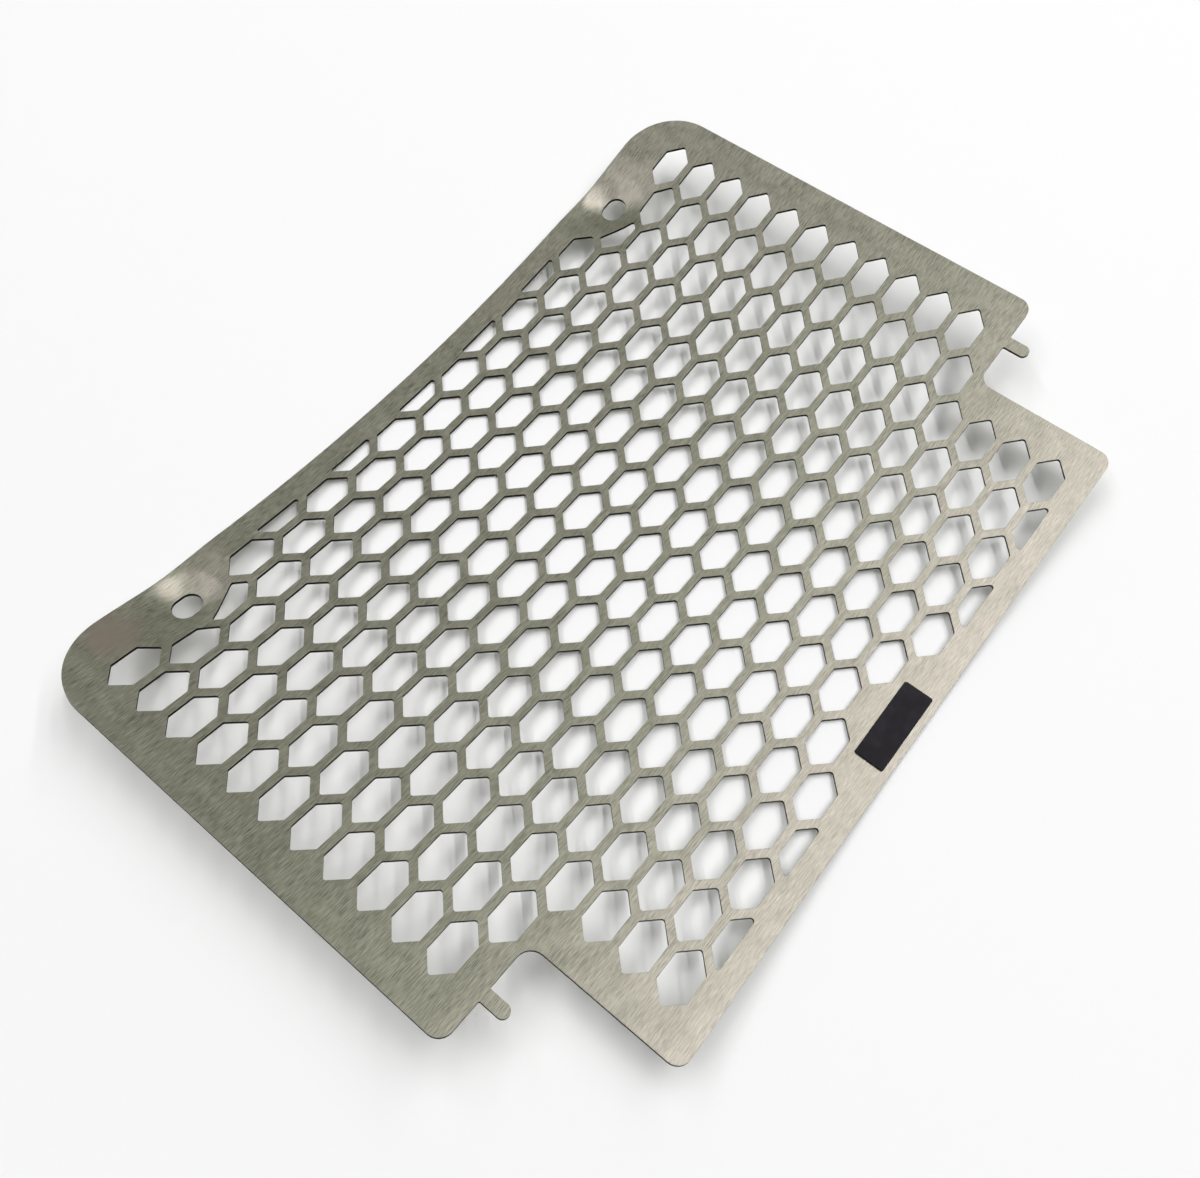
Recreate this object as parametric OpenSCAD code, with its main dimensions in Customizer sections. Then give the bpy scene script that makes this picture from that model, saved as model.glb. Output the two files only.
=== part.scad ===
// Motorcycle radiator guard: one laser-cut stainless sheet, rolled to a shallow arc along its
// length and lying on the middle of it, with a blank adhesive plate on the flap's border.
// +X runs across the sheet to the flap, +Y along its length and +Z up. Z = 0 is the lowest line.

/* [Sheet] */
// Thickness of the sheet
sheet_t = 1; // [0.8:0.1:2]
// Radius of the rolled arc, to the lower face
bend_r = 422; // [360:1:900]
// Solid margin from the first cell's middle to the edge with the fixings
fixing_border = 16.2; // [15.5:0.1:20]
// Margin from the last cell's middle to the free edge, in the rows beside the notches
free_border = 11.2; // [10:0.1:13]
// Margin from the middle of the end rows to the two ends
end_border = 15.8; // [13:0.1:20]
// Radius of the two large corners
big_corner_r = 16.8; // [8:0.1:20]
// Radius of the small outer corners
small_corner_r = 3.5; // [1:0.1:6]

/* [Honeycomb] */
// Number of rows along the sheet
rows = 17; // [17:2:17]
// Number of cells in an end row
end_row_cells = 11; // [11:1:12]
// Pitch between neighbouring cells of a row
cell_pitch = 10; // [9.6:0.1:10.4]
// Pitch between neighbouring rows
row_pitch = 13; // [12.6:0.1:13.4]
// Height of a cell's pointed end, measured at full pitch
point_h = 5; // [3:0.1:6]
// Web left between two cells
web = 2.05; // [1.5:0.05:3]
// Solid strip left along the edge with the fixings
fixing_strip = 6; // [4:0.1:7]
// Solid strip left along the flap's edge
flap_strip = 5.5; // [4:0.1:7]

/* [Flap] */
// How far the flap stands out past the main edge
flap_w = 39.6; // [38:0.1:42]
// Length of the flap
flap_l = 186.2; // [182:0.1:190]
// Radius inside the two notches
notch_r = 3.8; // [1:0.1:5]

/* [Tabs] */
// Width of each tab
tab_w = 3.3; // [2:0.1:5]
// How far each tab stands out of the main edge
tab_l = 6.5; // [4:0.1:12]
// Distance from a tab's middle to the end of the sheet
tab_inset = 12.9; // [9:0.1:16]

/* [Fixings] */
// Width of each fixing slot
slot_w = 6.2; // [5:0.1:7]
// Length of each fixing slot, end to end
slot_l = 7.8; // [7.1:0.1:9]
// Distance from a slot's middle to the edge beside it
slot_inset = 9.6; // [9.5:0.1:11]
// Distance along the sheet from a slot's middle to its end
slot_end = 35.4; // [34:0.1:37]
// Radius of the pressed dimple round each slot
dimple_r = 9.3; // [7.5:0.1:9.4]
// Depth of the dimple at its middle
dimple_depth = 3.2; // [2:0.1:4]
// Distance from a slot's middle to the cut side of the cell next to it
slot_clear = 7.9; // [7.4:0.1:9]
// Direction of that cut side's normal, turned from across the sheet towards its middle
slot_clear_angle = 25; // [15:1:35]

/* [Label plate] */
// Width of the plate
label_w = 7.8; // [5:0.1:8.5]
// Length of the plate
label_l = 22.7; // [14:0.1:25]
// Thickness of the plate
label_t = 0.5; // [0.3:0.1:1]
// Radius of the plate's corners
label_corner_r = 0.6; // [0.3:0.1:2]
// Margin from the plate to the flap's edge
label_inset = 1.8; // [1:0.1:3]
// Adhesive film between the plate and the sheet
glue_t = 0.1; // [0.05:0.05:0.2]

/* [Hidden] */
$fn = 96;
// Overshoot of a cutter past what it cuts
over = 1;
// Sizes of the whole blank
main_w = fixing_border + (end_row_cells - 1) * cell_pitch + free_border;
sheet_w = main_w + flap_w;
sheet_l = (rows - 1) * row_pitch + 2 * end_border;
// Edges, with the blank's middle at X = 0
fixing_edge = -sheet_w / 2;
flap_edge = sheet_w / 2;
main_edge = fixing_edge + main_w;
notch_l = (sheet_l - flap_l) / 2;
// Middle of cell 0 in an even row
first_x = fixing_edge + fixing_border;
// One cell: width, height of each point and overall height
cell_w = cell_pitch - web;
cell_point = point_h * cell_w / cell_pitch;
slant = atan(2 * point_h / cell_pitch);
cell_h = row_pitch + point_h - web / cos(slant);
// Cells are kept where their middles lie between these two lines
left_line = fixing_edge + fixing_strip;
right_line = flap_edge - flap_strip;
label_x = flap_edge - label_inset - label_w / 2;
slot_x = fixing_edge + slot_inset;
slot_y = sheet_l / 2 - slot_end;
// The dimple's curve runs this far past the sheet's face, so that it leaves it at a clean edge
dimple_blend = 0.16;
dimple_steps = 10;

// Angle of the arc at a distance y along the sheet
function arc_angle(y) = y / bend_r * 180 / PI;

// Depth of the dimple's curve at a distance r from its middle
function dimple_curve(r) =
    (dimple_depth + dimple_blend) * (1 + cos(180 * r / dimple_r)) / 2 - dimple_blend;

// Which cells each row keeps, by the middle of the cell
function row_start(k) = first_x + (k % 2 == 0 ? -1 : -0.5) * cell_pitch;
function is_end_row(y) = abs(y) + cell_h / 2 > flap_l / 2;
function clear_of_corner(x, y) =
    let (cx = fixing_edge + big_corner_r, cy = sheet_l / 2 - big_corner_r)
    x > cx || abs(y) < cy || norm([x - cx, abs(y) - cy]) + cell_w / 2 + fixing_strip < big_corner_r;
function clear_of_slot(x, y) = norm([x - slot_x, abs(y) - slot_y]) > slot_clear;
function beside_slot(x, y) = norm([x - slot_x, y - slot_y]) < slot_clear + cell_w / 2;
function clear_of_label(x, y) =
    x + cell_w / 2 < label_x - label_w / 2 || abs(y) - cell_h / 2 > label_l / 2;
function last_line(y) = is_end_row(y) ? main_edge - cell_pitch / 2 : right_line;
function kept(x, y) =
    x > left_line && x < last_line(y) && clear_of_corner(x, y) && clear_of_slot(x, y)
    && clear_of_label(x, y);
function row_y(k) = ((rows - 1) / 2 - k) * row_pitch;
function row_cells(k) =
    [for (x = [row_start(k) : cell_pitch : right_line]) if (kept(x, row_y(k))) x];

// Puts a shape drawn on the flat sheet at a distance x across and y along it
module on_sheet(x, y)
    translate([0, 0, bend_r])
        rotate([arc_angle(y), 0, 0])
            translate([x, 0, -bend_r])
                children();

// A piece of the rolled arc between two heights above its lower face
module rolled(w, l, low, high)
    translate([0, 0, bend_r])
        rotate([0, 90, 0])
            rotate([0, 0, -arc_angle(l) / 2])
                rotate_extrude(angle = arc_angle(l), $fn = 1440)
                    translate([bend_r - high, -w / 2])
                        square([high - low, w]);

// Cuts a flat outline straight through the sheet at one place
module cut_at(x, y, depth = over)
    on_sheet(x, y)
        translate([0, 0, -depth])
            linear_extrude(depth + sheet_t + over)
                children();

// What lies outside a rounded corner whose middle is at the origin
module outside_corner(r)
    difference() {
        square(r + over);
        circle(r);
    }

module cell()
    polygon([
        [cell_w / 2, cell_h / 2 - cell_point],
        [0, cell_h / 2],
        [-cell_w / 2, cell_h / 2 - cell_point],
        [-cell_w / 2, cell_point - cell_h / 2],
        [0, -cell_h / 2],
        [cell_w / 2, cell_point - cell_h / 2]
    ]);

// One row of cells, drawn about its own middle line and trimmed along both strips
module row_of_cells(k)
    difference() {
        for (x = row_cells(k))
            translate([x, 0])
                cell();
        translate([left_line - cell_pitch, -cell_h])
            square([cell_pitch, 2 * cell_h]);
        translate([right_line, -cell_h])
            square([cell_pitch, 2 * cell_h]);
        for (side = [-1, 1], x = row_cells(k))
            if (beside_slot(x, side * row_y(k)))
                translate([slot_x, side * slot_y - row_y(k)])
                    rotate(-side * slot_clear_angle)
                        translate([0, -cell_h])
                            square([slot_clear, 2 * cell_h]);
    }

// The notch beside one end of the flap, with its tab left standing and the two corners next to it
// rounded. Its origin is where the flap's end meets the main edge.
module notch()
    difference() {
        union() {
            square([flap_w + over, notch_l + over]);
            translate([-small_corner_r, notch_l - small_corner_r])
                outside_corner(small_corner_r);
            translate([flap_w - small_corner_r, -small_corner_r])
                outside_corner(small_corner_r);
        }
        difference() {
            square(notch_r);
            translate([notch_r, notch_r])
                circle(notch_r);
        }
        translate([-over, notch_l - tab_inset - tab_w / 2])
            square([over + tab_l - tab_w / 2, tab_w]);
        translate([tab_l - tab_w / 2, notch_l - tab_inset])
            circle(d = tab_w);
    }

// Section of the space on one side of the dimple's curve, up to a level face
module dimple_section(top)
    polygon(concat(
        [[0, top]],
        [for (i = [0 : dimple_steps])
            let (r = dimple_r * i / dimple_steps) [r, -dimple_curve(r)]],
        [[dimple_r, top]]
    ));

module dimple_boss()
    rotate_extrude()
        dimple_section(sheet_t / 2);

module dimple_recess()
    translate([0, 0, sheet_t])
        rotate_extrude()
            dimple_section(dimple_depth);

module slot()
    union() {
        square([slot_w, slot_l - slot_w], center = true);
        for (end = [-1, 1])
            translate([0, end * (slot_l - slot_w) / 2])
                circle(d = slot_w);
    }

module guard_sheet()
    color([0.62, 0.61, 0.57])
        difference() {
            union() {
                rolled(sheet_w, sheet_l, 0, sheet_t);
                for (side = [-1, 1])
                    on_sheet(slot_x, side * slot_y)
                        dimple_boss();
            }
            for (side = [-1, 1]) {
                on_sheet(slot_x, side * slot_y)
                    dimple_recess();
                cut_at(slot_x, side * slot_y, dimple_depth + over)
                    slot();
                cut_at(fixing_edge + big_corner_r, side * (sheet_l / 2 - big_corner_r))
                    mirror([0, 1 - side])
                        mirror([1, 0])
                            outside_corner(big_corner_r);
                cut_at(main_edge, side * flap_l / 2)
                    mirror([0, 1 - side])
                        notch();
            }
            for (k = [0 : rows - 1])
                cut_at(0, row_y(k), dimple_depth + over)
                    row_of_cells(k);
        }

module label_plate()
    color([0.03, 0.03, 0.03])
        intersection() {
            translate([label_x, 0, 0])
                rolled(label_w + 2 * over, label_l + 2 * over,
                    sheet_t + glue_t, sheet_t + glue_t + label_t);
            on_sheet(label_x, 0)
                linear_extrude(sheet_t + glue_t + label_t + over)
                    union() {
                        square([label_w - 2 * label_corner_r, label_l], center = true);
                        square([label_w, label_l - 2 * label_corner_r], center = true);
                        for (sx = [-1, 1], sy = [-1, 1])
                            translate([sx * (label_w / 2 - label_corner_r),
                                sy * (label_l / 2 - label_corner_r)])
                                circle(label_corner_r);
                    }
        }

guard_sheet();
label_plate();
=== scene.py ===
"""Looks of the radiator guard: the rolled honeycomb sheet, its blank label plate, and the studio."""

import math

import bpy
import numpy as np
from mathutils import Matrix, Vector
from mathutils.geometry import delaunay_2d_cdt

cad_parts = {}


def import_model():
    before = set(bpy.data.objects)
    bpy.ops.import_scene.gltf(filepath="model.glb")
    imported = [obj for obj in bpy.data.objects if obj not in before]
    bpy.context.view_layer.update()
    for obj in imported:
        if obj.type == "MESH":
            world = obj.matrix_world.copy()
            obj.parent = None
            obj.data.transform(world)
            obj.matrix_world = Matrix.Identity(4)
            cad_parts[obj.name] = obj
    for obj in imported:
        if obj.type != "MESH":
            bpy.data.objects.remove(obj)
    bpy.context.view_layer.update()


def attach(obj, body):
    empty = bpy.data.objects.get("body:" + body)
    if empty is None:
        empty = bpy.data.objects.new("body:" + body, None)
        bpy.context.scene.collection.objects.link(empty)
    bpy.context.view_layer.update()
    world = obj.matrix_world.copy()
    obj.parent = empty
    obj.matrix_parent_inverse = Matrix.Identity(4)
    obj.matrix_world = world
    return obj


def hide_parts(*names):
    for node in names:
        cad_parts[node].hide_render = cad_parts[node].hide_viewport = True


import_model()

# Sizes in millimetres, as in the part's source
MM = 0.001
SHEET_T = 1.0
BEND_R = 422.0
FIXING_BORDER = 16.2
FREE_BORDER = 11.2
END_BORDER = 15.8
BIG_CORNER_R = 16.8
SMALL_CORNER_R = 3.5
ROWS = 17
END_ROW_CELLS = 11
CELL_PITCH = 10.0
ROW_PITCH = 13.0
POINT_H = 5.0
WEB = 2.05
FIXING_STRIP = 6.0
FLAP_STRIP = 5.5
FLAP_W = 39.6
FLAP_L = 186.2
NOTCH_R = 3.8
TAB_W = 3.3
TAB_L = 6.5
TAB_INSET = 12.9
SLOT_W = 6.2
SLOT_L = 7.8
SLOT_INSET = 9.6
SLOT_END = 35.4
DIMPLE_R = 9.3
SLOT_CLEAR = 7.9
SLOT_CLEAR_ANGLE = math.radians(25)
LABEL_W = 7.8
LABEL_L = 22.7
LABEL_T = 0.5
LABEL_CORNER_R = 0.6
LABEL_INSET = 1.8
GLUE_T = 0.1

# Fine forms that the laser and the deburring leave
CELL_CORNER_R = 0.7
TAB_ROOT_R = 0.4
EDGE_BREAK = 0.06
LABEL_EDGE_BREAK = 0.12
DISH_SLOPE = 0.21
DISH_RIM = 0.7
BASIN_R = 20.0
BASIN_DEPTH = 1.7

# A cell's corner that lies past a trimming line, or this near it, is left out
NEAR_LINE = 0.6

# How finely outlines are divided
LONGEST_STEP = 2.6
ARC_STEP = math.radians(15)
BIG_CORNER_STEPS = 24
SLOT_POINTS = 32
# A round end's radius is this much under half its width, so that a short straight side is left
ROUND_END_GAP = 0.01

# Points inside the sheet's faces: rings round each slot, and a grid elsewhere
DIMPLE_RINGS = 9
DIMPLE_SPOKES = 40
FIRST_RING = SLOT_W / 2 + 1.2
LAST_RING = DIMPLE_R + 0.8
RING_CLEAR = 0.45
GRID_STEP = 4.0
GRID_CLEAR = 1.6
GRID_START = 2.0
GRID_END = 1.0
GRID_FROM_SLOT = DIMPLE_R + 2.0

# The blank and where things lie on it, with its middle at (0, 0)
MAIN_W = FIXING_BORDER + (END_ROW_CELLS - 1) * CELL_PITCH + FREE_BORDER
SHEET_W = MAIN_W + FLAP_W
SHEET_L = (ROWS - 1) * ROW_PITCH + 2 * END_BORDER
LEFT = -SHEET_W / 2
RIGHT = SHEET_W / 2
MAIN_EDGE = LEFT + MAIN_W
END = SHEET_L / 2
FLAP_END = FLAP_L / 2
FIRST_X = LEFT + FIXING_BORDER
CELL_W = CELL_PITCH - WEB
CELL_POINT = POINT_H * CELL_W / CELL_PITCH
CELL_H = ROW_PITCH + POINT_H - WEB / math.cos(math.atan(2 * POINT_H / CELL_PITCH))
LEFT_LINE = LEFT + FIXING_STRIP
RIGHT_LINE = RIGHT - FLAP_STRIP
LABEL_X = RIGHT - LABEL_INSET - LABEL_W / 2
SLOT_X = LEFT + SLOT_INSET
SLOT_Y = END - SLOT_END


def kept(x, y):
    """Is there a cell with its middle at (x, y)?"""
    end_row = abs(y) + CELL_H / 2 > FLAP_END
    last = MAIN_EDGE - CELL_PITCH / 2 if end_row else RIGHT_LINE
    cx, cy = LEFT + BIG_CORNER_R, END - BIG_CORNER_R
    in_corner = x <= cx and abs(y) >= cy and (
        math.hypot(x - cx, abs(y) - cy) + CELL_W / 2 + FIXING_STRIP >= BIG_CORNER_R)
    on_slot = math.hypot(x - SLOT_X, abs(y) - SLOT_Y) <= SLOT_CLEAR
    on_label = x + CELL_W / 2 >= LABEL_X - LABEL_W / 2 and abs(y) - CELL_H / 2 <= LABEL_L / 2
    return LEFT_LINE < x < last and not (in_corner or on_slot or on_label)


def clip(corners, point, normal):
    """What is left of a convex outline on the side of a line that its normal points away from.

    A corner that is almost on the line is left out too, so that no side is too short to be rounded.
    """
    out = []
    for a, b in zip(corners, corners[1:] + corners[:1]):
        da = (a[0] - point[0]) * normal[0] + (a[1] - point[1]) * normal[1]
        db = (b[0] - point[0]) * normal[0] + (b[1] - point[1]) * normal[1]
        if da <= -NEAR_LINE:
            out.append(a)
        if (da <= -NEAR_LINE) != (db <= -NEAR_LINE):
            t = da / (da - db)
            out.append((a[0] + t * (b[0] - a[0]), a[1] + t * (b[1] - a[1])))
    return out


def cells():
    """The outline of each cell, counterclockwise, trimmed along the strips and beside the slots."""
    found = []
    for k in range(ROWS):
        y = ((ROWS - 1) / 2 - k) * ROW_PITCH
        x = FIRST_X - (CELL_PITCH if k % 2 == 0 else CELL_PITCH / 2)
        while x < RIGHT_LINE:
            if kept(x, y):
                w, h, p = CELL_W / 2, CELL_H / 2, CELL_POINT
                shape = [(w, p - h), (w, h - p), (0, h), (-w, h - p), (-w, p - h), (0, -h)]
                shape = [(x + dx, y + dy) for dx, dy in shape]
                shape = clip(shape, (LEFT_LINE, 0), (-1, 0))
                shape = clip(shape, (RIGHT_LINE, 0), (1, 0))
                side = 1 if y > 0 else -1
                if math.hypot(x - SLOT_X, abs(y) - SLOT_Y) < SLOT_CLEAR + CELL_W / 2:
                    n = (math.cos(SLOT_CLEAR_ANGLE), -side * math.sin(SLOT_CLEAR_ANGLE))
                    line = (SLOT_X + n[0] * SLOT_CLEAR, side * SLOT_Y + n[1] * SLOT_CLEAR)
                    shape = clip(shape, line, (-n[0], -n[1]))
                found.append(shape)
            x += CELL_PITCH
    return found


def rounded(corners, radii):
    """Points and outward normals of a counterclockwise outline with its corners rounded."""
    points, normals = [], []
    count = len(corners)
    for i in range(count):
        p = Vector(corners[i])
        d1 = (p - Vector(corners[i - 1])).normalized()
        d2 = (Vector(corners[(i + 1) % count]) - p).normalized()
        turn = math.atan2(d1.x * d2.y - d1.y * d2.x, d1.dot(d2))
        r = radii[i]
        n1 = Vector((d1.y, -d1.x))
        side = 1 if turn > 0 else -1
        start = p - d1 * r * math.tan(abs(turn) / 2)
        centre = start - n1 * r * side
        steps = max(2, math.ceil(abs(turn) / ARC_STEP)) if r < BIG_CORNER_R else BIG_CORNER_STEPS
        for j in range(steps + 1):
            a = turn * j / steps
            c, s = math.cos(a), math.sin(a)
            n = Vector((n1.x * c - n1.y * s, n1.x * s + n1.y * c))
            points.append(centre + n * r * side)
            normals.append(n)
    return divided(points, normals)


def divided(points, normals):
    """The same outline with no straight step longer than LONGEST_STEP."""
    out_p, out_n = [], []
    for i, p in enumerate(points):
        q = points[(i + 1) % len(points)]
        out_p.append(p)
        out_n.append(normals[i])
        steps = math.ceil((q - p).length / LONGEST_STEP)
        for j in range(1, steps):
            out_p.append(p.lerp(q, j / steps))
            out_n.append(normals[i])
    return np.array(out_p), np.array(out_n)


def sheet_outline():
    """The blank's outline, counterclockwise, from the tab at -Y round to the tab at +Y."""
    half, corner = [], []
    tab_y, tab_r = END - TAB_INSET, TAB_W / 2 - ROUND_END_GAP

    def add(x, y, r):
        half.append((x, y))
        corner.append(r)

    add(RIGHT, FLAP_END, SMALL_CORNER_R)
    add(MAIN_EDGE, FLAP_END, NOTCH_R)
    add(MAIN_EDGE, tab_y - TAB_W / 2, TAB_ROOT_R)
    add(MAIN_EDGE + TAB_L, tab_y - TAB_W / 2, tab_r)
    add(MAIN_EDGE + TAB_L, tab_y + TAB_W / 2, tab_r)
    add(MAIN_EDGE, tab_y + TAB_W / 2, TAB_ROOT_R)
    add(MAIN_EDGE, END, SMALL_CORNER_R)
    add(LEFT, END, BIG_CORNER_R)
    mirrored = [(x, -y) for x, y in reversed(half)]
    return rounded(half + mirrored, corner + corner[::-1])


def slot_outline(side):
    """A slot with round ends, its long way along the sheet."""
    points, normals = [], []
    for j in range(SLOT_POINTS):
        a = 2 * math.pi * (j + 0.5) / SLOT_POINTS
        n = Vector((math.cos(a), math.sin(a)))
        end = math.copysign((SLOT_L - SLOT_W) / 2, n.y)
        points.append(Vector((SLOT_X, side * SLOT_Y + end)) + n * SLOT_W / 2)
        normals.append(n)
    return divided(points, normals)


def dimple(x, y):
    """How far the sheet is pressed down at (x, y), and its slope there.

    Each dimple is a cone with a soft rim, in a wider and shallower basin that the pressing pulled down.
    """
    depth, slope = np.zeros(len(x)), np.zeros((len(x), 2))
    for side in (-1, 1):
        dx, dy = x - SLOT_X, y - side * SLOT_Y
        r = np.hypot(dx, dy)
        inward = DIMPLE_R - r
        rim = np.hypot(inward, DISH_RIM)
        depth += DISH_SLOPE * (inward + rim) / 2
        fall = -DISH_SLOPE * (1 + inward / rim) / 2
        turn = np.pi * r / BASIN_R
        depth += np.where(r < BASIN_R, BASIN_DEPTH * (1 + np.cos(turn)) / 2, 0)
        fall -= np.where(r < BASIN_R, BASIN_DEPTH * np.pi / BASIN_R * np.sin(turn) / 2, 0)
        slope += np.stack([fall * dx, fall * dy], 1) / np.maximum(r, 1e-6)[:, None]
    return depth, slope


def rolled(flat, height, normal2, lift):
    """Places and normals on the rolled sheet.

    flat is where each point lies on the flat sheet and height how far it is above the lower face.
    Its normal leans from straight up (lift 1) or down (-1) towards normal2 (lift 0).
    """
    depth, slope = dimple(flat[:, 0], flat[:, 1])
    angle = flat[:, 1] / BEND_R
    r = BEND_R - (height - depth)
    place = np.stack([flat[:, 0], r * np.sin(angle), BEND_R - r * np.cos(angle)], 1)
    up = np.stack([slope[:, 0], slope[:, 1], np.ones(len(flat))], 1)
    up /= np.linalg.norm(up, axis=1)[:, None]
    level = np.sqrt(np.maximum(1 - lift ** 2, 0))[:, None]
    local = up * lift[:, None] + np.concatenate([normal2, np.zeros((len(flat), 1))], 1) * level
    local /= np.linalg.norm(local, axis=1)[:, None]
    c, s = np.cos(angle), np.sin(angle)
    turned = [local[:, 0], c * local[:, 1] - s * local[:, 2], s * local[:, 1] + c * local[:, 2]]
    return place * MM, np.stack(turned, 1)


def fill(loops, extra):
    """Triangles between an outer loop and the holes in it, with extra points inside."""
    points, edges, owner = [], [], []
    for k, loop in enumerate(loops):
        base = len(points)
        points += [Vector(p) for p in loop]
        edges += [(base + i, base + (i + 1) % len(loop)) for i in range(len(loop))]
        owner += [k] * len(loop)
    base = len(points)
    points += [Vector(p) for p in extra]
    owner += [-1] * len(extra)
    verts, _, faces, orig, _, _ = delaunay_2d_cdt(points, edges, [], 1, 1e-6)
    if len(verts) != len(points):
        raise ValueError("an outline crosses another one")
    source = [o[0] for o in orig]
    triangles = []
    for face in faces:
        ids = [source[i] for i in face]
        owners = {owner[i] for i in ids}
        if len(owners) == 1 and owners <= set(range(1, len(loops))):
            continue
        a, b, c = (points[i] for i in ids)
        if (b.x - a.x) * (c.y - a.y) - (b.y - a.y) * (c.x - a.x) < 0:
            ids.reverse()
        triangles.append(ids)
    return triangles, base


def plate(name, outline, holes, extra, low, high, edge_break):
    """A thin plate with broken edges, drawn flat and rolled with the sheet.

    The outline's normals point out of the plate, and a hole's are turned to do so too.
    """
    loops = [outline] + [(p, -n) for p, n in holes]
    flat = np.concatenate([p for p, _ in loops])
    normal = np.concatenate([n for _, n in loops])
    lean = math.sqrt(0.5)
    half = 1 - lean
    # Each ring's inset in edge breaks, its height and its normals' lift, from the top face down
    rings = [
        (1.0, high, 1.0),
        (half, high - edge_break * half, lean),
        (0.0, high - edge_break, 0.0),
        (0.0, low + edge_break, 0.0),
        (half, low + edge_break * half, -lean),
        (1.0, low, -1.0),
    ]
    cut_ring = 2
    count = len(flat)
    places, normals, maps = [], [], []
    for inset, height, lift in rings:
        ring = flat - normal * inset * edge_break
        place, turned = rolled(ring, np.full(count, height), normal, np.full(count, lift))
        places.append(place)
        normals.append(turned)
        maps.append(ring)
    extra = np.array(extra, float).reshape(-1, 2)
    for height, lift in ((high, 1.0), (low, -1.0)):
        size = len(extra)
        place, turned = rolled(extra, np.full(size, height), np.zeros((size, 2)), np.full(size, lift))
        places.append(place)
        normals.append(turned)
        maps.append(extra)
    inner = flat - normal * edge_break
    sizes = [len(p) for p, _ in loops]
    starts = np.concatenate([[0], np.cumsum(sizes)[:-1]])
    triangles, base = fill([inner[s:s + n] for s, n in zip(starts, sizes)], extra)
    top = [i if i < base else i - base + len(rings) * count for i in range(base + len(extra))]
    under = [i + (len(rings) - 1) * count if i < base else i - base + len(rings) * count + len(extra)
             for i in range(base + len(extra))]
    faces = [[top[i] for i in t] for t in triangles]
    faces += [[under[i] for i in reversed(t)] for t in triangles]
    finish = [0] * len(faces)
    for ring in range(len(rings) - 1):
        for k, (s, n) in enumerate(zip(starts, sizes)):
            for i in range(n):
                a, b = s + i, s + (i + 1) % n
                this, below = ring * count, (ring + 1) * count
                quad = [a + this, b + this, b + below, a + below]
                faces.append(quad if k else quad[::-1])
                finish.append(1 if ring == cut_ring else 0)
    places, normals, maps = (np.concatenate(part) for part in (places, normals, maps))
    return built(name, places, faces, normals, maps, finish)


def built(name, places, faces, normals, flat, finish):
    """A mesh with its own normals and with its flat pattern as a UV map, in metres.

    finish is each face's material: 0 for the faces and broken edges, 1 for the cut sides.
    """
    mesh = bpy.data.meshes.new(name)
    mesh.from_pydata(places.tolist(), [], [list(map(int, f)) for f in faces])
    mesh.polygons.foreach_set("use_smooth", [True] * len(faces))
    mesh.polygons.foreach_set("material_index", finish)
    uv = mesh.uv_layers.new(name="flat")
    corner = np.zeros(len(mesh.loops), np.int32)
    mesh.loops.foreach_get("vertex_index", corner)
    uv.data.foreach_set("uv", (flat[corner] * MM).ravel())
    mesh.normals_split_custom_set_from_vertices(normals.tolist())
    mesh.update()
    obj = bpy.data.objects.new(name, mesh)
    bpy.context.scene.collection.objects.link(obj)
    return obj


def inner_points(loops):
    """Points of a grid, and of rings round the slots, that keep clear of every outline."""
    edge = np.concatenate([p for p, _ in loops])
    found = []
    for side in (-1, 1):
        for i in range(DIMPLE_RINGS):
            r = FIRST_RING + (LAST_RING - FIRST_RING) * i / (DIMPLE_RINGS - 1)
            for j in range(DIMPLE_SPOKES):
                a = 2 * math.pi * (j + i % 2 / 2) / DIMPLE_SPOKES
                found.append((SLOT_X + r * math.cos(a), side * SLOT_Y + r * math.sin(a), RING_CLEAR))
    for x in np.arange(LEFT + GRID_START, RIGHT - GRID_END, GRID_STEP):
        for y in np.arange(-END + GRID_START, END - GRID_END, GRID_STEP):
            if math.hypot(x - SLOT_X, abs(y) - SLOT_Y) > GRID_FROM_SLOT:
                found.append((x, y, GRID_CLEAR))
    outer, holes = loops[0][0], [p for p, _ in loops[1:]]
    middles = np.array([p.mean(0) for p in holes])
    out = []
    for x, y, clear in found:
        if np.hypot(edge[:, 0] - x, edge[:, 1] - y).min() < clear or not within((x, y), outer):
            continue
        near = np.argsort(np.hypot(middles[:, 0] - x, middles[:, 1] - y))[:4]
        if not any(within((x, y), holes[i]) for i in near):
            out.append((x, y))
    return out


def within(point, outline):
    """Is the point inside the outline?"""
    x, y = point
    a, b = outline, np.roll(outline, -1, axis=0)
    cross = (a[:, 1] > y) != (b[:, 1] > y)
    at = a[cross, 0] + (y - a[cross, 1]) * (b[cross, 0] - a[cross, 0]) / (b[cross, 1] - a[cross, 1])
    return (at > x).sum() % 2 == 1


def guard_sheet():
    """The rolled sheet with its cells and slots."""
    outline = sheet_outline()
    holes = [rounded(c, [CELL_CORNER_R] * len(c)) for c in cells()]
    holes += [slot_outline(side) for side in (-1, 1)]
    extra = inner_points([outline] + holes)
    return plate("honeycomb_sheet", outline, holes, extra, 0.0, SHEET_T, EDGE_BREAK)


def label_plate():
    """The blank plate, a film of glue above the sheet."""
    x, w, l = LABEL_X, LABEL_W / 2, LABEL_L / 2
    outline = rounded([(x + w, -l), (x + w, l), (x - w, l), (x - w, -l)], [LABEL_CORNER_R] * 4)
    low = SHEET_T + GLUE_T
    return plate("blank_label", outline, [], [], low, low + LABEL_T, LABEL_EDGE_BREAK)


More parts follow.
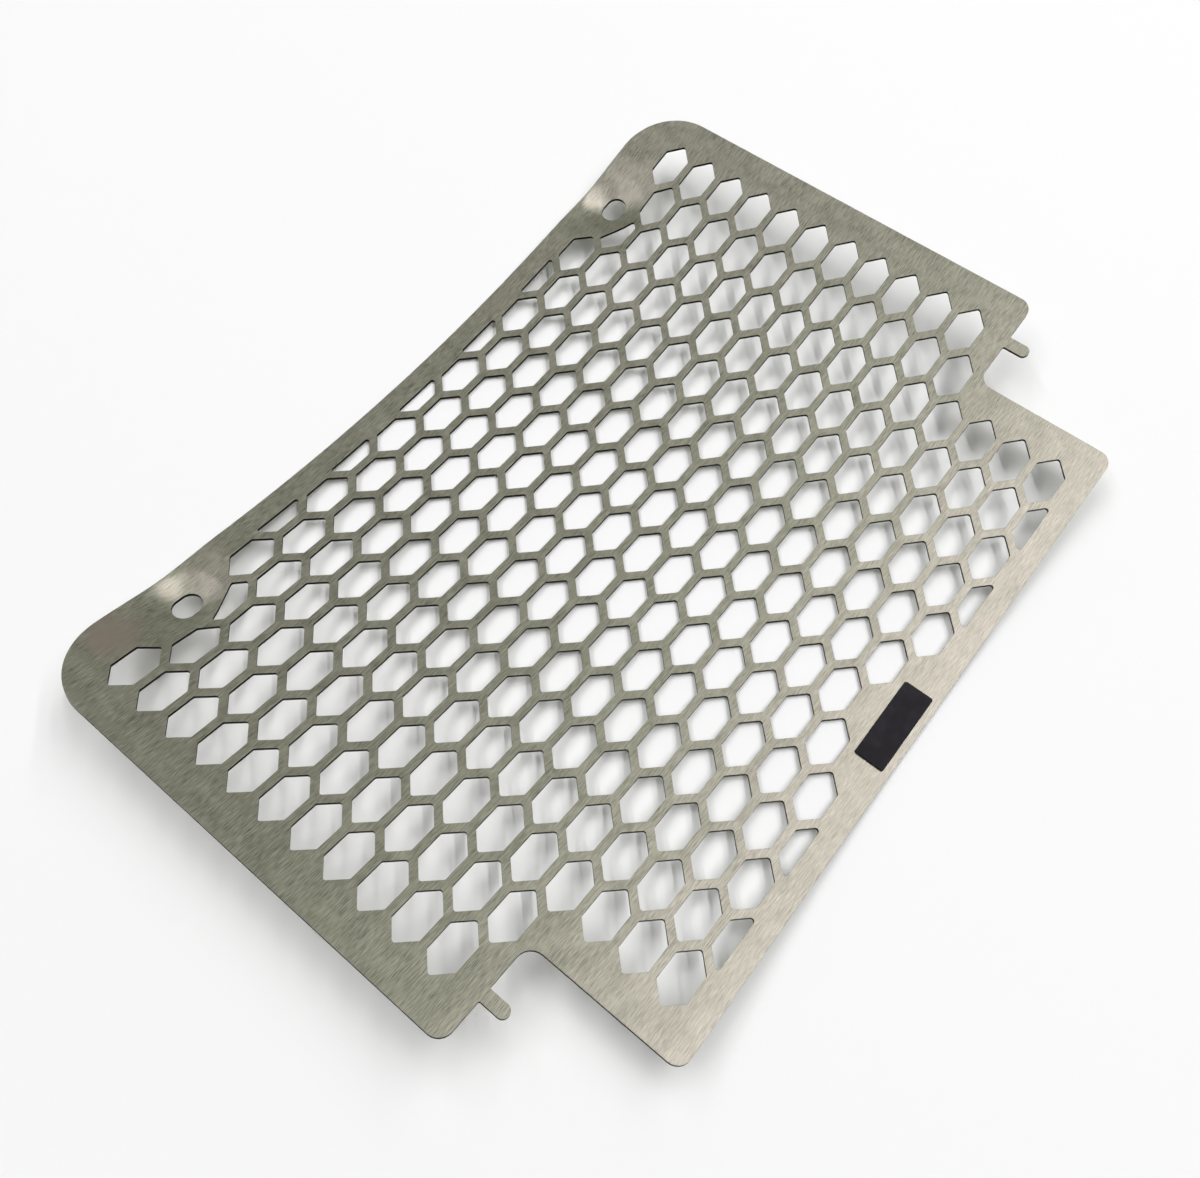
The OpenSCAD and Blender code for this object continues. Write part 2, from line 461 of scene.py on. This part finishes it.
class Nodes:
    """A short way to write a material's nodes."""

    def __init__(self, name):
        self.material = bpy.data.materials.new(name)
        self.material.use_nodes = True
        self.tree = self.material.node_tree
        self.shader = self.tree.nodes["Principled BSDF"]

    def add(self, kind, links=(), **values):
        node = self.tree.nodes.new("ShaderNode" + kind)
        for key, value in values.items():
            setattr(node, key, value)
        for socket, source in dict(links).items():
            if isinstance(source, bpy.types.NodeSocket):
                self.tree.links.new(source, node.inputs[socket])
            else:
                node.inputs[socket].default_value = source
        return node

    def set(self, **values):
        for key, value in values.items():
            self.shader.inputs[key.replace("_", " ")].default_value = value

    def link(self, source, socket):
        self.tree.links.new(source, self.shader.inputs[socket])

    def flat(self, across, along, shift=0.0):
        """Coordinates on the flat sheet, scaled apart across and along the grain."""
        uv = self.add("UVMap", uv_map="flat").outputs[0]
        scaled = self.add("Mapping", {0: uv, 1: (shift, shift, 0), 3: (across, along, 1)})
        return scaled.outputs[0]

    def noise(self, vector, detail, rough):
        return self.add("TexNoise", {"Vector": vector, "Scale": 1.0, "Detail": detail,
                                     "Roughness": rough}).outputs["Fac"]

    def span(self, value, low, high, to_low, to_high):
        return self.add("MapRange", {"Value": value, "From Min": low, "From Max": high,
                                     "To Min": to_low, "To Max": to_high}).outputs[0]

    def maths(self, kind, a, b):
        return self.add("Math", {0: a, 1: b}, operation=kind).outputs[0]

    def blend(self, factor, a, b):
        mix = self.add("Mix", data_type="RGBA")
        for socket, source in ((0, factor), (6, a), (7, b)):
            if isinstance(source, bpy.types.NodeSocket):
                self.tree.links.new(source, mix.inputs[socket])
            else:
                mix.inputs[socket].default_value = source
        return mix.outputs[2]

    def bump(self, height, strength, distance, normal=None):
        links = {"Height": height, "Strength": strength, "Distance": distance}
        if normal is not None:
            links["Normal"] = normal
        return self.add("Bump", links).outputs[0]


STEEL = (0.475, 0.490, 0.362, 1)
STEEL_DARK = (0.232, 0.240, 0.177, 1)
# The warm colour of the painted reflection near one corner
PAINTED_REFLECTION_TINT = (0.385, 0.330, 0.265, 1)
# A warm painted reflection near one corner, a brownish patch blended into the steel's colour: its
# middle in millimetres, and where it fades, in metres from there
PAINTED_REFLECTION_AT = (LEFT + 5.5, -END + 17.5)
PAINTED_REFLECTION_FULL, PAINTED_REFLECTION_GONE = 0.002, 0.009
PAINTED_REFLECTION_RAGGED = 0.002
# Scales of each noise across and along the grain, in cells per metre, and its shift
HAIR = (6000, 400)
SCRATCH = (5000, 130, 0.3)
CLOUD = (130, 200, 0.7)
RIPPLE = (160, 160, 4.1)
WAVE = (90, 80, 2.6)
# Heights of bumps, in metres
GRAIN_HEIGHT = 0.00004
WAVE_HEIGHT = 0.0002


def brushed_steel():
    """Straight grain along the sheet, with clouds in its tone, slight waves and one painted reflection,
    a warm patch near a corner.
    """
    m = Nodes("brushed_steel")
    hair = m.noise(m.flat(*HAIR), 1, 0.6)
    scratch = m.noise(m.flat(*SCRATCH), 1, 0.6)
    cloud = m.noise(m.flat(*CLOUD), 3, 0.55)
    grain = m.maths("ADD", m.maths("MULTIPLY", hair, 0.6), m.maths("MULTIPLY", scratch, 0.4))
    tone = m.maths("ADD", grain, m.maths("MULTIPLY", cloud, 0.22))
    colour = m.blend(m.span(tone, 0.48, 0.75, 0, 1), STEEL_DARK, STEEL)
    ripple = m.noise(m.flat(*RIPPLE), 3, 0.6)
    middle = [c * MM for c in PAINTED_REFLECTION_AT] + [0]
    place = m.add("VectorMath", {0: m.flat(1, 1), 1: middle}, operation="DISTANCE")
    ragged = m.span(ripple, 0.3, 0.7, -PAINTED_REFLECTION_RAGGED, PAINTED_REFLECTION_RAGGED)
    reach = m.maths("ADD", place.outputs["Value"], ragged)
    # Painted reflection: a warm brownish patch with a ragged rim, blended into the colour near one
    # corner
    colour = m.blend(m.span(reach, PAINTED_REFLECTION_FULL, PAINTED_REFLECTION_GONE, 0.9, 0), colour, PAINTED_REFLECTION_TINT)
    m.link(colour, "Base Color")
    fine = m.span(grain, 0.3, 0.7, 0.27, 0.37)
    broad = m.span(cloud, 0.3, 0.7, -0.03, 0.05)
    m.link(m.maths("ADD", fine, broad), "Roughness")
    wave = m.noise(m.flat(*WAVE), 1, 0.5)
    waved = m.bump(wave, 1.0, WAVE_HEIGHT)
    m.link(m.bump(grain, 0.22, GRAIN_HEIGHT, waved), "Normal")
    m.set(Metallic=1.0, Anisotropic=0.75, Anisotropic_Rotation=0.25)
    m.link(m.add("Tangent", direction_type="UV_MAP", uv_map="flat").outputs[0], "Tangent")
    return m.material


EDGE_DARK = (0.006, 0.0055, 0.005, 1)
EDGE_PALE = (0.020, 0.018, 0.016, 1)
EDGE_STRIPE = (1500, 1500)
EDGE_HEIGHT = 0.00006


def cut_edge():
    """The nearly black side that the laser leaves."""
    m = Nodes("laser_cut_edge")
    stripe = m.noise(m.flat(*EDGE_STRIPE), 2, 0.6)
    m.link(m.blend(m.span(stripe, 0.35, 0.65, 0, 1), EDGE_DARK, EDGE_PALE), "Base Color")
    m.link(m.span(stripe, 0.3, 0.7, 0.5, 0.7), "Roughness")
    m.link(m.bump(stripe, 0.5, EDGE_HEIGHT), "Normal")
    m.set(Metallic=1.0)
    return m.material


FILM_BLACK = (0.0045, 0.0045, 0.005, 1)
FILM_DUSTY = (0.012, 0.012, 0.012, 1)
FILM_PEEL = (900, 900)
FILM_DUST = (260, 260, 2.0)
PEEL_HEIGHT = 0.00005


def black_film():
    """Smooth black plastic with a soft gloss and a little dust."""
    m = Nodes("black_film")
    peel = m.noise(m.flat(*FILM_PEEL), 2, 0.5)
    dust = m.noise(m.flat(*FILM_DUST), 4, 0.7)
    m.link(m.blend(m.span(dust, 0.58, 0.75, 0, 1), FILM_BLACK, FILM_DUSTY), "Base Color")
    m.link(m.span(dust, 0.35, 0.7, 0.26, 0.40), "Roughness")
    m.link(m.bump(peel, 0.12, PEEL_HEIGHT), "Normal")
    m.set(Specular_IOR_Level=0.12)
    return m.material


def camera():
    """The photograph's view, found by fitting the lattice of cells to it."""
    lens = 32.02
    place = Vector((77.92, -107.183, 242.375)) * MM
    right = Vector((0.778739, 0.62727, -0.009904))
    up = Vector((-0.558139, 0.69995, 0.44559))
    data = bpy.data.cameras.new("camera")
    data.lens = lens
    data.clip_start = 0.01
    cam = bpy.data.objects.new("camera", data)
    bpy.context.scene.collection.objects.link(cam)
    turn = Matrix((right, up, right.cross(up))).transposed().to_4x4()
    cam.matrix_world = Matrix.Translation(place) @ turn
    bpy.context.scene.camera = cam


FLOOR_COLOUR = (0.80, 0.80, 0.80, 1)
FLOOR_LIFT = 0.06
FLOOR_HALF = 1.2
FLOOR_DROP = 0.0002


def floor():
    """White paper just under the guard. It gives off a little light of its own."""
    mesh = bpy.data.meshes.new("floor")
    corners = [(sx * FLOOR_HALF, sy * FLOOR_HALF, 0) for sx, sy in ((-1, -1), (1, -1), (1, 1), (-1, 1))]
    mesh.from_pydata(corners, [], [(0, 1, 2, 3)])
    obj = bpy.data.objects.new("floor", mesh)
    bpy.context.scene.collection.objects.link(obj)
    obj.location.z = -FLOOR_DROP
    m = Nodes("floor_paper")
    tree = m.tree
    tree.nodes.remove(m.shader)
    diffuse = m.add("BsdfDiffuse", {"Color": FLOOR_COLOUR})
    lift = m.add("Emission", {"Color": (1, 1, 1, 1), "Strength": FLOOR_LIFT})
    total = m.add("AddShader", {0: diffuse.outputs[0], 1: lift.outputs[0]})
    tree.links.new(total.outputs[0], tree.nodes["Material Output"].inputs["Surface"])
    obj.data.materials.append(m.material)


# The surround. One number is a level, or a share of one, and three are a tint. Two or four say
# where a part of the room starts and ends, by the x, y or z of the direction a reflection looks in.
FILL_LIGHT = 0.10
CEILING = 0.44
HALO = 1.85
HALO_FROM, HALO_FULL = -0.45, -0.08
HALO_ALONG = (0.22, 0.35, 0.38, 0.52)
GLOW = 5.5
GLOW_COLOUR = (1.15, 1.0, 1.215)
GLOW_FROM, GLOW_FULL = -0.155, 0.06
GLOW_PAST, GLOW_GONE = 0.12, 0.30
GLOW_LEFT = 0.1
GLOW_TOP = (0.20, 0.33)
GLOW_AT_TOP = 0.12
GLOW_NEAR, GLOW_FAR = 0.415, 0.545
WINDOW = 1.75
WINDOW_ACROSS = (-0.85, -0.70, -0.26, -0.06)
WINDOW_ALONG = (-0.45, -0.35, -0.08, 0.03)
WALL = 1.0
WALL_TOP = (0.10, 0.35)
WALL_FAR = (0.35, 0.60)
BACK = 0.40
BACK_FROM, BACK_FULL = 0.58, 0.80


def world():
    """The surround: a dim even fill, white to the camera, and a room for reflections.

    Its ceiling glows on +X, and there is a window on -Y that only the dimples' slopes face.
    """
    w = bpy.data.worlds.new("studio")
    w.use_nodes = True
    bpy.context.scene.world = w
    tree = w.node_tree
    back = tree.nodes["Background"]
    back.inputs["Color"].default_value = (1, 1, 1, 1)

    def node(kind, **values):
        made = tree.nodes.new("ShaderNode" + kind)
        for key, value in values.items():
            setattr(made, key, value)
        return made

    def ramp(value, low, high, to_low, to_high):
        made = node("MapRange", interpolation_type="SMOOTHSTEP")
        ends = {"From Min": low, "From Max": high, "To Min": to_low, "To Max": to_high}
        for key, number in ends.items():
            made.inputs[key].default_value = number
        tree.links.new(value, made.inputs["Value"])
        return made.outputs["Result"]

    def mix(factor, a, b):
        made = node("Mix", data_type="RGBA")
        for socket, source in ((0, factor), (6, a), (7, b)):
            if isinstance(source, bpy.types.NodeSocket):
                tree.links.new(source, made.inputs[socket])
            else:
                made.inputs[socket].default_value = source
        return made.outputs[2]

    def times(a, b):
        made = node("Math", operation="MULTIPLY")
        tree.links.new(a, made.inputs[0])
        tree.links.new(b, made.inputs[1])
        return made.outputs[0]

    def band(value, start, full, last, end):
        return times(ramp(value, start, full, 0.0, 1.0), ramp(value, last, end, 1.0, 0.0))

    def grey(level):
        return [level] * 3 + [1]

    coords = node("TexCoord")
    split = node("SeparateXYZ")
    tree.links.new(coords.outputs["Generated"], split.inputs[0])
    x, y, z = (split.outputs[axis] for axis in "XYZ")
    rise = ramp(x, GLOW_FROM, GLOW_FULL, 0.0, 1.0)
    glow = times(rise, ramp(x, GLOW_PAST, GLOW_GONE, 1.0, GLOW_LEFT))
    glow = times(glow, ramp(y, GLOW_NEAR, GLOW_FAR, 1.0, 0.0))
    glow = times(glow, ramp(y, *GLOW_TOP, GLOW_AT_TOP, 1.0))
    window = times(band(x, *WINDOW_ACROSS), band(y, *WINDOW_ALONG))
    wall = times(ramp(z, *WALL_TOP, 1.0, 0.0), ramp(y, *WALL_FAR, 1.0, 0.0))
    back_wall = ramp(y, BACK_FROM, BACK_FULL, 0.0, 1.0)
    halo = times(ramp(x, HALO_FROM, HALO_FULL, 0.0, 1.0), band(y, *HALO_ALONG))
    room = mix(halo, grey(CEILING), grey(HALO))
    room = mix(glow, room, [GLOW * c for c in GLOW_COLOUR] + [1])
    room = mix(window, room, [WINDOW * c for c in GLOW_COLOUR] + [1])
    room = mix(back_wall, room, grey(BACK))
    reflected = mix(wall, room, grey(WALL))
    paths = node("LightPath")
    mirrored = node("Math", operation="MAXIMUM")
    tree.links.new(paths.outputs["Is Glossy Ray"], mirrored.inputs[0])
    tree.links.new(paths.outputs["Is Transmission Ray"], mirrored.inputs[1])
    seen = mix(mirrored.outputs[0], grey(FILL_LIGHT), reflected)
    tree.links.new(mix(paths.outputs["Is Camera Ray"], seen, grey(1.0)), back.inputs["Color"])


LAMP_HEIGHT = 3.0
# The level direction away from the camera
AWAY = Vector((-0.623, 0.782, 0.0)).normalized()
TUBES = {
    "tube_right_near": ((0.42, -0.25), (0.035, 0.90), 39.5),
    "tube_right_mid": ((0.50, 0.35), (0.04, 0.60), 16.0),
    "tube_right_far": ((0.70, 0.50), (0.035, 1.50), 53.0),
    "tube_left_near": ((-0.60, -0.05), (0.045, 0.80), 26.5),
    "tube_left_far": ((-0.42, 0.45), (0.045, 1.10), 30.0),
    "panel_far": ((0.08, 0.40), (0.60, 0.35), 17.5),
}
TUBE_ALONG = Vector((-1.0, 1.0, 0.0)).normalized()
WINDOW_AT = ((0.30, 2.60), (4.0, 0.8), 60.0)


def lamps():
    """Long thin tubes overhead, along the webs that lean to -X, which keeps those shadows sharper.

    Places and sizes are for a height of one: how far aside and how far away, then width and length.
    The last lamp is a low window far behind, which lights the floor under the raised end.
    """
    across = Vector((AWAY.y, -AWAY.x, 0.0))
    up = Vector((0.0, 0.0, 1.0))

    def lamp(name, spot, size, power, axes):
        data = bpy.data.lights.new(name, "AREA")
        data.shape = "RECTANGLE"
        data.size, data.size_y = (length * LAMP_HEIGHT for length in size)
        data.energy = power
        made = bpy.data.objects.new(name, data)
        bpy.context.scene.collection.objects.link(made)
        place = (across * spot[0] + AWAY * spot[1] + up) * LAMP_HEIGHT
        made.matrix_world = Matrix.Translation(place) @ Matrix(axes).transposed().to_4x4()
        made.visible_glossy = False

    tube_across = Vector((TUBE_ALONG.y, -TUBE_ALONG.x, 0.0))
    for name, (spot, size, power) in TUBES.items():
        lamp(name, spot, size, power, (tube_across, TUBE_ALONG, up))
    lamp("window_far", *WINDOW_AT, (-across, up, AWAY))


def studio():
    """The floor, the surround and the lamps."""
    floor()
    world()
    lamps()
    bpy.context.scene.view_settings.view_transform = "Standard"


sheet = guard_sheet()
for make in (brushed_steel, cut_edge):
    sheet.data.materials.append(make())
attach(sheet, "root")
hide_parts("guard_sheet")

# The label's cut side has the same film as its face
label = label_plate()
film = black_film()
for _ in range(2):
    label.data.materials.append(film)
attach(label, "root")
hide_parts("label_plate")

camera()
studio()
